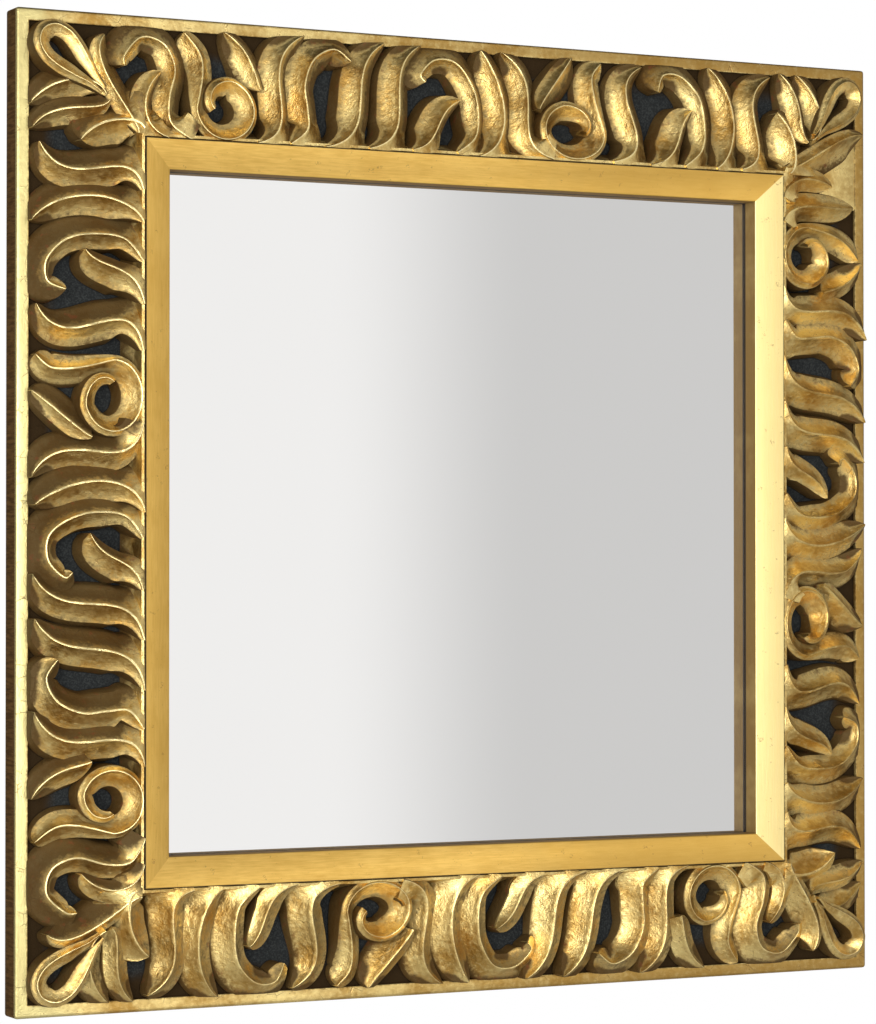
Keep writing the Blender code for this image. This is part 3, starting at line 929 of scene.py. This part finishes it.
@dataclass
class CarvedFrame:
    """The carved and gilded frame: a board with a sunk ground, a root band and the strokes of the pattern.

    The stains, partly patination and partly painted shade, and the crest's wear and painted highlight have a
    value for each rail, clockwise from the top. The walls are offsets as shares of a flank, with lifts from
    its edge (0) down to the floor (-1).
    """

    half: float
    board_face: float
    band_outer: float
    band_inner: float
    rebate_half: float
    rebate_depth: float
    pattern: Pattern = field(default_factory=Pattern)
    edge_radius: float = 2.2 * MM
    ground_depth: float = 4 * MM
    crest_rise: float = 21.8 * MM
    root_band_rise: float = 20.6 * MM
    root_band_width: float = 2.4 * MM
    root_slope_width: float = 9 * MM
    fall_power: float = 1.6
    near_slope: float = 0.75
    far_spread: float = 1.3
    skirt_rise: float = 18 * MM
    skirt_width: float = 0.45
    skirt_flatness: float = 0.88
    # Stains per rail, partly patination and partly painted shade where a rail's flanks look away from the
    # light.
    near_stain_and_shade: tuple[float, ...] = (0.0, 0.0, 0.54, 0.0)
    far_stain_and_shade: tuple[float, ...] = (0.70, 0.5, 0.32, 0.9)
    # How pale each rail's crests are: wear and a painted highlight that differs with the light on each rail.
    crest_wear_and_highlight: tuple[float, ...] = (0.9, 0.55, 0.8, 1.0)
    seam_stain_and_shade: tuple[float, ...] = (0.0, 0.0, 0.0, 0.65)
    edge_stain_and_shade: float = 0.55
    far_stain_and_shade_fade: float = 0.45
    tip_stain_and_shade_reach: float = 22 * MM
    tip_stain_and_shade_width: float = 18 * MM
    walls: tuple[tuple[float, float], ...] = ((1.12, -1.0), (1.03, -0.62), (0.93, -0.2))
    crest_offsets: tuple[float, ...] = (-0.045, 0.0, 0.05)
    crest_lifts: tuple[float, ...] = (0.98, 1.0, 0.98)
    crest_marks: tuple[float, ...] = (0.55, 1.0, 0.55)
    near_hollow: float = 1.7
    far_hollow: float = 1.35
    pressed_share: float = 0.05
    ring_crowding: float = 1.15
    least_flank: float = 1.2 * MM
    tool_mark: float = 0.45 * MM
    tool_mark_cells: float = 95
    tool_mark_shift: tuple[float, float] = (7.31, 3.17)
    crest_mark_share: float = 0.4
    buried: float = 3 * MM
    overhang: float = 0.7 * MM
    face_share: float = 0.84
    cavity_cell: float = 1.5 * MM
    cavity_reach: int = 12
    cavity_depth: float = 8 * MM
    near_columns: int = 9
    far_columns: int = 7
    root_cuts: int = 120
    root_steps: int = 6
    root_hollow: float = 0.75
    root_mark: float = 0.45
    root_dent: float = 0.15 * MM
    root_dent_cells: tuple[float, float] = (120, 60)
    root_dent_shift: float = 5.3
    root_dent_fade: float = 20
    patch_drop: float = 0.3 * MM
    smooth_angle: float = math.radians(38)

    def build(self) -> bpy.types.Object:
        """Build the frame as one piece.

        Returns:
            The finished object.
        """
        parts = [self.board(), self.root_band(), self.patch()]
        for rail in range(RAILS):
            for number, (stroke, course) in enumerate(self.pattern.strokes(rail)):
                parts.append(self.carve(stroke, course, rail, number))
        frame = join(parts)
        frame.name = frame.data.name = "carved_frame_gilded"
        self.mark_cavities(frame.data)
        bpy.ops.object.shade_smooth_by_angle(angle=self.smooth_angle)
        return frame

    def mark_cavities(self, mesh: bpy.types.Mesh) -> None:
        """Mark how far each vertex lies below its surroundings, in the alpha of the carving attribute; the
        gold darkens there as painted occlusion shade.

        Args:
            mesh: The joined mesh.
        """
        spots = np.empty(len(mesh.vertices) * 3, dtype=np.float32)
        mesh.vertices.foreach_get("co", spots)
        spots = spots.reshape(-1, 3)
        heights = -spots[:, 1] - self.board_face
        cells = int(2 * self.half / self.cavity_cell) + 3
        columns, rows = (((spots[:, axis] + self.half) / self.cavity_cell + 1).astype(int) for axis in (0, 2))
        top = np.full((cells, cells), -1.0)
        np.maximum.at(top, (rows, columns), heights)
        for _ in range(self.cavity_reach):
            empty = top < -0.5
            around = [np.roll(top, shift, axis) for axis in (0, 1) for shift in (-1, 1)]
            top[empty] = np.maximum.reduce(around)[empty]
        top = np.maximum(top, -self.ground_depth)
        for _ in range(self.cavity_reach):
            top = (top + sum(np.roll(top, shift, axis) for axis in (0, 1) for shift in (-1, 1))) / 5
        below = (top[rows, columns] - heights) / self.cavity_depth
        layer = mesh.color_attributes["carving"]
        colours = np.empty(len(mesh.vertices) * 4, dtype=np.float32)
        layer.data.foreach_get("color", colours)
        colours = colours.reshape(-1, 4)
        colours[:, 3] = np.clip(below * 0.5 + 0.5, 0.0, 1.0)
        layer.data.foreach_set("color", colours.ravel())

    def stretch(self, along: float, rise: float) -> Vector:
        """Place a pattern point on the real rail."""
        band_middle = (self.band_outer + self.band_inner) / 2
        half_width = self.band_inner + rise * (self.band_outer - self.band_inner) / self.pattern.band
        return Vector((along * band_middle / self.pattern.half_length, half_width))

    def diagonal(self, along: float, across: float) -> Vector:
        """Place a point of the corner's diagonal on the real rail."""
        corner = self.pattern.half_length - self.pattern.band / 2
        side = (along + across) / math.sqrt(2)
        rise = (along - across) / math.sqrt(2)
        return self.stretch(-corner - side, rise)

    def crest_height(self, half_width: float, tip_height: float) -> float:
        """Find the height of a crest over the fillet, which falls from the root to the tip."""
        share = (half_width - self.band_inner) / (self.band_outer - self.band_inner)
        share = min(max(share, 0.0), 1.0)
        return self.crest_rise - (self.crest_rise - tip_height * MM) * share**self.fall_power

    def press(self, half_width: float) -> float:
        """Press what runs past the outer edge of the band against it."""
        limit = self.band_outer + self.overhang
        return half_width if half_width < limit else limit + (half_width - limit) * self.pressed_share

    def carve(self, stroke: Stroke, course: Course, rail: int, number: int) -> bpy.types.Object:
        """Shape one stroke from a flat grid.

        Args:
            stroke: The stroke.
            course: How its points are read.
            rail: The rail's number, clockwise from the top.
            number: The stroke's number on its rail.

        Returns:
            The closed and shaped stroke.
        """
        points, marks = self.stroke_surface(stroke, course, rail, number)
        rows, columns = points.shape[:2]
        deselect_all()
        bpy.ops.mesh.primitive_grid_add(x_subdivisions=columns - 1, y_subdivisions=rows - 1, size=1)
        leaf = bpy.context.object
        leaf.data.vertices.foreach_set("co", on_rail(points.reshape(-1, 3), rail).ravel())
        paint(leaf.data, marks.reshape(-1, 3))
        bpy.ops.object.mode_set(mode="EDIT")
        pick_open_edges()
        bpy.ops.mesh.edge_face_add()
        face_outward()
        return leaf

    def stroke_surface(
        self, stroke: Stroke, course: Course, rail: int, number: int
    ) -> tuple[np.ndarray, np.ndarray]:
        """Work out the points of a stroke on the top rail and what its material reads at each.

        Args:
            stroke: The stroke.
            course: How its points are read.
            rail: The rail's number, which varies the tool marks.
            number: The stroke's number on its rail, which varies them too.

        Returns:
            Points by ring and column, and crest, level and wall marks for each; the crest mark paints wear
            and a highlight, the wall mark stains and painted shade.
        """
        place = self.stretch if course is Course.RAIL else self.diagonal
        shares = 1 - (1 - np.linspace(0.0, 1.0, stroke.rings + 1)) ** self.ring_crowding
        line = [place(*stroke.crest(share)) for share in shares]
        crest = np.array([(point.x, point.y) for point in line])
        forward = np.gradient(crest, axis=0)
        forward /= np.linalg.norm(forward, axis=1, keepdims=True)
        left = np.stack([-forward[:, 1], forward[:, 0]], axis=1)
        widths = np.array([stroke.flanks(share) for share in shares]) * MM
        if stroke.leafy:
            widths[:, 1] *= self.far_spread
        widths = self.limit_inner(crest, forward, np.maximum(widths, self.least_flank), stroke.inner_share)
        skirt, far_slopes = self.skirt(stroke, crest, shares)
        widths[:, 1] *= 1 + self.skirt_width * skirt
        heights = np.array([self.crest_height(point[1], stroke.tip_height) for point in crest])
        floor = -self.ground_depth - self.buried
        offsets, lifts, marks = self.section()
        points = np.zeros((len(shares), len(offsets), 3))
        painted = np.zeros_like(points)
        shift = Vector((rail * self.tool_mark_shift[0], number * self.tool_mark_shift[1], 0.0))
        for ring in range(len(shares)):
            # Darker towards the outer ends: stains and painted shade.
            past_start = crest[ring, 1] - self.band_outer + self.tip_stain_and_shade_reach
            outer_part = smooth(past_start / self.tip_stain_and_shade_width)
            for column, (offset, lift) in enumerate(zip(offsets, lifts)):
                width = widths[ring][0 if offset < 0 else 1]
                spot = crest[ring] - left[ring] * offset * width
                slope = self.near_slope if offset < 0 else far_slopes[ring]
                edge = max(heights[ring] - slope * width, self.ground_depth / 2)
                height = edge + (heights[ring] - edge) * lift if lift >= 0 else edge + (edge - floor) * lift
                half_width = max(self.press(spot[1]), self.band_inner)
                cell = Vector((spot[0], half_width, 0.0)) * self.tool_mark_cells + shift
                cut = 0.5 + 0.5 * noise.noise(cell)
                height -= self.tool_mark * cut * (self.crest_mark_share if lift >= 1 else 1.0)
                points[ring, column] = (spot[0], -self.board_face - height, half_width)
                level = (height + self.ground_depth) / (heights[ring] + self.ground_depth)
                # The wall mark is stains and painted shade: full on the walls, darker towards each flank's
                # foot and the outer ends, and set per rail on each flank.
                stain_and_shade = float(lift < 0)
                if 0 <= lift < 1:
                    stain_and_shade = self.edge_stain_and_shade * (1 - lift)
                    if stroke.leafy:
                        near_stain_and_shade = max(stain_and_shade, self.near_stain_and_shade[rail])
                        far_stain_and_shade = self.far_stain_and_shade[rail] * (1 - lift * self.far_stain_and_shade_fade)
                        far_stain_and_shade *= 1 - skirt[ring] * (1 - self.seam_stain_and_shade[rail])
                        stain_and_shade = max(near_stain_and_shade if offset < 0 else far_stain_and_shade, outer_part * (1 - lift))
                # The crest mark, scaled per rail, paints worn gold and a highlight.
                painted[ring, column] = (marks[column] * self.crest_wear_and_highlight[rail], max(level, 0.0), stain_and_shade)
        ends = points[[0, -1]].copy()
        ends[:, :, 1] = -self.board_face - floor
        end_marks = np.zeros_like(painted[[0, -1]])
        end_marks[:, :, 2] = 1.0
        points = np.concatenate([ends[:1], points, ends[1:]])
        painted = np.concatenate([end_marks[:1], painted, end_marks[1:]])
        return points, painted

    def skirt(self, stroke: Stroke, crest: np.ndarray, shares: np.ndarray) -> tuple[np.ndarray, np.ndarray]:
        """Find where the far flank spreads into the flat triangle beside its root, and how steeply it falls.

        Args:
            stroke: The stroke.
            crest: Points of its crest.
            shares: Their shares of the stroke.

        Returns:
            The skirt's strength from 0 to 1 and the far flank's slope at each point.
        """
        if not stroke.springs:
            return np.zeros(len(shares)), np.full(len(shares), stroke.far_slope)
        rise = (crest[:, 1] - self.band_inner) / self.skirt_rise
        rise = np.where(shares < 0.5, np.clip(rise, 0.0, 1.0), 1.0)
        skirt = np.sin(math.pi * rise)
        slope = stroke.far_slope * (1 - self.skirt_flatness * (1 - smooth((rise - 0.3) / 0.7)))
        return skirt, slope

    def section(self) -> tuple[list[float], list[float], list[float]]:
        """Draw a stroke's cross section: steep walls, hollow flanks and a narrow worn crest.

        Returns:
            Offsets as shares of the flank from near (-1) to far (1), lifts from the flank's edge (0) to the
            crest (1) and down to the floor (-1), and the marks of the crest.
        """
        wall_offsets, wall_lifts = zip(*self.walls)
        near = [step / self.near_columns for step in range(self.near_columns)]
        far = [step / self.far_columns for step in reversed(range(self.far_columns))]
        offsets = [-offset for offset in wall_offsets]
        offsets += [-self.face_share * (1 - share) for share in near]
        offsets += [*self.crest_offsets, *(self.face_share * (1 - share) for share in far)]
        offsets += reversed(wall_offsets)
        lifts = [*wall_lifts, *(share**self.near_hollow for share in near), *self.crest_lifts]
        lifts += [*(share**self.far_hollow for share in far), *reversed(wall_lifts)]
        sides = [0.0] * len(self.walls)
        marks = [*sides, *[0.0] * self.near_columns, *self.crest_marks, *[0.0] * self.far_columns, *sides]
        return offsets, lifts, marks

    @staticmethod
    def limit_inner(crest: np.ndarray, forward: np.ndarray, widths: np.ndarray, share: float) -> np.ndarray:
        """Keep the flank on the inside of a bend short of the bend's middle, and smooth both widths.

        Args:
            crest: Points of the crest.
            forward: Directions at those points.
            widths: Near and far widths at those points.
            share: The largest width on the inside of a bend, as a share of the bend's radius.

        Returns:
            The limited widths.
        """
        turn = np.gradient(np.unwrap(np.arctan2(forward[:, 1], forward[:, 0])))
        stride = np.linalg.norm(np.gradient(crest, axis=0), axis=1)
        radius = stride / np.maximum(np.abs(turn), 1e-5)
        limited = widths.copy()
        inner = np.where(turn > 0, 0, 1)
        for ring, side in enumerate(inner):
            limited[ring, side] = min(limited[ring, side], share * radius[ring])
        kernel = np.array([1, 2, 3, 2, 1]) / 9
        for side in (0, 1):
            padded = np.pad(limited[:, side], 2, mode="edge")
            limited[:, side] = np.minimum(np.convolve(padded, kernel, mode="valid"), widths[:, side])
        return limited

    def board(self) -> bpy.types.Object:
        """Model the board: fillet, sunk ground, opening and the rebate at its back.

        Returns:
            The board.
        """
        board = add_block("board", self.half, 0.0, self.board_face)
        pick("FACE", lambda face: looks(face, -1, self.board_face))
        bpy.ops.mesh.inset(thickness=self.half - self.band_outer)
        bpy.ops.mesh.extrude_region_move(TRANSFORM_OT_translate={"value": (0, self.ground_depth, 0)})
        bpy.ops.mesh.inset(thickness=self.band_outer - self.band_inner)
        pick("FACE", lambda face: looks(face, 1, 0.0))
        bpy.ops.mesh.inset(thickness=self.half - self.rebate_half)
        bpy.ops.mesh.extrude_region_move(TRANSFORM_OT_translate={"value": (0, -self.rebate_depth, 0)})
        bpy.ops.mesh.inset(thickness=self.rebate_half - self.band_inner)
        pick("FACE", lambda face: spans(face, self.band_inner))
        bpy.ops.mesh.bridge_edge_loops()
        pick("EDGE", self.is_rounded)
        bpy.ops.mesh.bevel(offset=self.edge_radius, segments=3, affect="EDGES")
        face_outward()
        low_ground = self.board_face - MM
        level = []
        for vertex in board.data.vertices:
            far_out = max(abs(vertex.co.x), abs(vertex.co.z)) > self.band_outer + MM
            level.append((0.0, 1.0 if far_out or -vertex.co.y > low_ground else 0.0, 0.0))
        paint(board.data, np.array(level))
        return board

    def is_rounded(self, edge: bmesh.types.BMEdge) -> bool:
        """Tell whether an edge of the board is one of the outer ones that wear has rounded."""
        ends = [min(abs(vertex.co.x), abs(vertex.co.z)) for vertex in edge.verts]
        outside = all(max(abs(vertex.co.x), abs(vertex.co.z)) > self.half - MM for vertex in edge.verts)
        at_front = all(vertex.co.y < -self.board_face + MM for vertex in edge.verts)
        corner = abs(edge.verts[0].co.y - edge.verts[1].co.y) > MM and min(ends) > self.half - MM
        return outside and (at_front or corner)

    def root_band(self) -> bpy.types.Object:
        """Model the band from which the leaves spring: a grid for each rail, mitred at its ends.

        Returns:
            The band.
        """
        inner, foot = self.band_inner, self.band_inner + self.root_band_width
        top, floor = self.root_band_rise, -self.ground_depth - self.buried
        profile = [(inner, floor), (inner, top - 0.6 * MM), (inner + 0.5 * MM, top), (foot, top - 0.2 * MM)]
        for step in range(1, self.root_steps + 1):
            share = step / self.root_steps
            level = top + (floor - top) * share**self.root_hollow
            profile.append((foot + self.root_slope_width * share, level))
        # The band's top edge takes a paler crest mark: wear and a painted highlight.
        crest_marks = (0.0, self.root_mark, self.root_mark) + (0.0,) * (len(profile) - 3)
        levels = [(height - floor) / (top - floor) for _, height in profile]
        marks = [(crest, level, 0.0) for crest, level in zip(crest_marks, levels)]
        strips = []
        for rail in range(RAILS):
            deselect_all()
            bpy.ops.mesh.primitive_grid_add(
                x_subdivisions=len(profile) - 1, y_subdivisions=self.root_cuts, size=1
            )
            strip = bpy.context.object
            rows = []
            for row in range(self.root_cuts + 1):
                share = 2 * row / self.root_cuts - 1
                fade = min(1.0, self.root_dent_fade * (1 - abs(share)))
                for half_width, height in profile:
                    along = share * half_width
                    cells = (along * self.root_dent_cells[0], half_width * self.root_dent_cells[1])
                    cut = noise.noise(Vector((cells[0], rail * self.root_dent_shift, cells[1])))
                    dent = -self.root_dent * (1 + cut) * fade if height > floor else 0.0
                    rows.append((along, -self.board_face - height - dent, half_width))
            strip.data.vertices.foreach_set("co", on_rail(np.array(rows), rail).ravel())
            paint(strip.data, np.array(marks * (self.root_cuts + 1)))
            strips.append(strip)
        band = join(strips)
        bpy.ops.object.mode_set(mode="EDIT")
        bpy.ops.mesh.select_all(action="SELECT")
        bpy.ops.mesh.remove_doubles(threshold=0.05 * MM)
        pick_open_edges()
        bpy.ops.mesh.bridge_edge_loops()
        face_outward()
        return band

    def patch(self) -> bpy.types.Object:
        """Model the flat patch where a hook broke away from one rail.

        Returns:
            The patch.
        """
        ends = [self.stretch(along, self.pattern.patch_rise) for along in self.pattern.patch_along]
        deselect_all()
        bpy.ops.mesh.primitive_cube_add(size=1)
        patch = bpy.context.object
        bpy.ops.object.mode_set(mode="EDIT")
        bpy.ops.mesh.select_all(action="SELECT")
        low, high = ends[0].y, self.band_outer + MM
        height = self.ground_depth + self.buried - self.patch_drop
        bpy.ops.transform.resize(value=(ends[1].x - ends[0].x, height, high - low))
        depth = -self.board_face + self.patch_drop + height / 2
        bpy.ops.transform.translate(value=((ends[0].x + ends[1].x) / 2, depth, (low + high) / 2))
        bpy.ops.mesh.bevel(offset=0.4 * MM, segments=2, affect="EDGES")
        bpy.ops.object.mode_set(mode="OBJECT")
        turn = Matrix.Rotation(self.pattern.mended_rail * math.pi / 2, 3, "Y")
        for vertex in patch.data.vertices:
            vertex.co = turn @ vertex.co
        paint(patch.data, np.tile((0.0, 1.0, 0.0), (len(patch.data.vertices), 1)))
        return patch


def smooth(value: np.ndarray | float) -> np.ndarray | float:
    """Rise smoothly from 0 at 0 to 1 at 1."""
    clipped = np.clip(value, 0.0, 1.0)
    return clipped * clipped * (3 - 2 * clipped)


def paint(mesh: bpy.types.Mesh, marks: np.ndarray) -> None:
    """Store what the carved gold reads at each vertex: how near a crest, how high in the carving, how steep,
    and how much it takes of stains and painted shade.

    Args:
        mesh: The mesh.
        marks: Three values a vertex.
    """
    layer = mesh.color_attributes.new("carving", "FLOAT_COLOR", "POINT")
    rows = np.ones((len(mesh.vertices), 4), dtype=np.float32)
    rows[:, :3] = marks
    layer.data.foreach_set("color", rows.ravel())


@dataclass
class SightMoulding:
    """The gilded slip that slopes down from the carving to the glass."""

    outer: float
    sight: float
    back: float
    front: float
    fall: float = 8 * MM
    edge: float = 1.0 * MM

    def build(self) -> bpy.types.Object:
        """Build the slip from a block.

        Returns:
            The finished object.
        """
        slip = add_block("sight_moulding_gilded", self.outer, self.back, self.front)
        pick("FACE", lambda face: abs(face.normal.y) > 0.9)
        bpy.ops.mesh.inset(thickness=self.outer - self.sight, use_individual=True)
        pick("FACE", lambda face: spans(face, self.sight))
        bpy.ops.mesh.bridge_edge_loops()
        pick("EDGE", self.is_sight_front)
        bpy.ops.transform.translate(value=(0, self.fall, 0))
        pick("EDGE", self.is_front_ridge)
        bpy.ops.mesh.bevel(offset=self.edge, segments=3, affect="EDGES")
        face_outward()
        bpy.ops.object.shade_smooth_by_angle(angle=math.radians(30))
        return slip

    def is_sight_front(self, edge: bmesh.types.BMEdge) -> bool:
        """Tell whether an edge is on the sight opening at the front."""
        at_front = all(abs(vertex.co.y + self.front) < 0.1 * MM for vertex in edge.verts)
        return at_front and largest_half(edge) < self.sight + MM

    def is_front_ridge(self, edge: bmesh.types.BMEdge) -> bool:
        """Tell whether an edge lies before the back and runs along a rail, not over a mitre."""
        way = edge.verts[1].co - edge.verts[0].co
        in_front = all(vertex.co.y < -self.back - MM for vertex in edge.verts)
        return in_front and min(abs(way.x), abs(way.z)) < MM and abs(way.y) < MM


@dataclass(frozen=True)
class SoftLight:
    """A rectangular light that looks at the middle of the mirror."""

    name: str
    place: tuple[float, float, float]
    size: tuple[float, float]
    power: float
    colour: Colour

    def add(self) -> None:
        """Add the light to the scene."""
        data = bpy.data.lights.new(self.name, "AREA")
        data.shape = "RECTANGLE"
        data.size, data.size_y = self.size
        data.energy = self.power
        data.color = self.colour
        light = bpy.data.objects.new(self.name, data)
        bpy.context.scene.collection.objects.link(light)
        light.location = self.place
        light.rotation_euler = (-Vector(self.place)).to_track_quat("-Z", "Y").to_euler()


@dataclass
class Studio:
    """Camera, lights, background and floor."""

    camera_place: Vector = field(default_factory=lambda: Vector((-1.1782, -2.3073, -0.0386)))
    yaw: float = math.radians(26.787)
    pitch: float = math.radians(0.912)
    lens: float = 123.0
    sensor: float = 36.0
    floor_drop: float = 1.1
    wall_light: float = 0.636
    left_gain: float = 0.274
    right_loss: float = 0.13
    panel_gain: float = 0.6
    softbox_gain: float = 1.1
    warm_white: Colour = (1.0, 0.985, 0.965)
    lights: tuple[SoftLight, ...] = (
        SoftLight("key", (-2.1, -2.3, 0.2), (1.2, 1.2), 29, (1.0, 0.99, 0.96)),
        SoftLight("back", (1.4, 2.4, 0.6), (1.2, 1.2), 22, (1.0, 0.99, 0.97)),
        SoftLight("panel", (-0.5, -3.1, 0.0), (0.75, 1.5), 24, (1.0, 1.0, 0.99)),
    )

    def build(self) -> None:
        """Set up the studio."""
        self.add_camera()
        self.add_world()
        self.add_floor()
        for light in self.lights:
            light.add()
        bpy.context.scene.view_settings.view_transform = "Standard"

    def add_camera(self) -> None:
        """Place the camera where the photograph was taken from."""
        data = bpy.data.cameras.new("camera")
        data.sensor_fit = "VERTICAL"
        data.sensor_height = self.sensor
        data.lens = self.lens
        camera = bpy.data.objects.new("camera", data)
        bpy.context.scene.collection.objects.link(camera)
        level = math.cos(self.pitch)
        forward = Vector((math.sin(self.yaw) * level, math.cos(self.yaw) * level, math.sin(self.pitch)))
        camera.location = self.camera_place
        camera.rotation_euler = forward.to_track_quat("-Z", "Y").to_euler()
        bpy.context.scene.camera = camera

    def add_world(self) -> None:
        """Make a white background and soft surroundings: bright at the left, greyer at the right, dark above.

        Rays that reach the camera straight see plain white; reflections see the surroundings.
        """
        world = bpy.data.worlds.new("studio")
        bpy.context.scene.world = world
        world.use_nodes = True
        graph = Graph(world.node_tree)
        way = graph.node("ShaderNodeTexCoord", output="Generated")
        right, into, up = (graph.node("ShaderNodeSeparateXYZ", None, {0: way}, axis) for axis in range(3))
        angle = graph.node("ShaderNodeMath", {"operation": "ARCTAN2"}, {0: right, 1: into * -1.0})

        def turn(low: float, high: float) -> Signal:
            """Rise smoothly between two angles around the mirror."""
            return angle.step(math.radians(low), math.radians(high))

        wall = self.wall_light + self.left_gain * turn(28.4, 24.9) - self.right_loss * turn(35, 48)
        panel = turn(13, 2) * turn(-34, -22) * up.step(0.45, 0.25) * up.step(-0.45, -0.25)
        softbox = turn(-22, -34) * turn(-78, -60) * up.step(0.60, 0.30) * up.step(-0.60, -0.30)
        walls = wall * (1.0 - 0.5 * turn(13, 0)) + panel * self.panel_gain + softbox * self.softbox_gain
        behind = into.step(-0.10, 0.15)
        vertical = 1.0 - 0.88 * up.step(0.66, 0.90) - 0.25 * up.step(-0.60, -0.90)
        vertical = vertical + 0.28 * up.step(-0.10, -0.30) * up.step(-0.62, -0.50)
        vertical = vertical * (1.0 - 0.8 * behind)
        background = "ShaderNodeBackground"
        light = graph.node(background, None, {"Color": (*self.warm_white, 1.0), "Strength": walls * vertical})
        white = graph.node(background, None, {"Color": (1.0, 1.0, 1.0, 1.0), "Strength": 1.0})
        seen = graph.node("ShaderNodeLightPath", output="Is Camera Ray")
        both = graph.node("ShaderNodeMixShader", None, {0: seen, 1: light, 2: white})
        graph.node("ShaderNodeOutputWorld", None, {"Surface": both})

    def add_floor(self) -> None:
        """Lay a plain pale floor well below the mirror."""
        deselect_all()
        bpy.ops.mesh.primitive_plane_add(size=3.0, location=(0, -1.0, -self.floor_drop))
        floor = bpy.context.object
        floor.name = "floor"
        material, graph = new_material("floor_white")
        surface(graph, {"Base Color": (0.85, 0.85, 0.84, 1.0), "Roughness": 0.8})
        floor.data.materials.append(material)


def dress_node(node: bpy.types.Object, material: bpy.types.Material) -> None:
    """Give a CAD node a better material.

    Args:
        node: The node's object.
        material: The new material.
    """
    if not node.material_slots:
        node.data.materials.append(material)
    for slot in node.material_slots:
        slot.material = material


def main() -> None:
    """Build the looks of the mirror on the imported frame."""
    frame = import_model()
    low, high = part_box("carved_frame")
    rebate_low, rebate_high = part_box("backing_board")
    slip_low, slip_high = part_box("sight_moulding")
    carved = CarvedFrame(
        half=high[0],
        board_face=BOARD_DEPTH,
        band_outer=high[0] - FILLET_WIDTH,
        band_inner=slip_high[0] + FIT_GAP,
        rebate_half=rebate_high[0] + FIT_GAP,
        rebate_depth=-rebate_low[1] + FIT_GAP,
    )
    Studio().build()
    gilded = carved.build()
    gilded.data.materials.clear()
    gilded.data.materials.append(CarvedGold(carved.board_face, carved.half, carved.band_outer).make())
    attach(gilded, "root")
    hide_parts("carved_frame")
    LOG.info("carved frame: %d faces", len(gilded.data.polygons))

    slip_model = SightMoulding(slip_high[0], slip_high[0] - SLIP_WIDTH, -slip_high[1], -slip_low[1])
    slip = slip_model.build()
    slip.data.materials.append(SlipGold(slip_model.sight, slip_model.outer, slip_model.back).make())
    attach(slip, "root")
    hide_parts("sight_moulding")
    LOG.info("sight moulding: %d faces", len(slip.data.polygons))

    dress_node(frame["nodes"]["mirror_glass"], Silvering().make())
    dress_node(frame["nodes"]["backing_board"], PlainBoard().make())
    LOG.info("glass and backing board dressed")


if __name__ == "__main__":
    logging.basicConfig(level=logging.INFO)
    main()
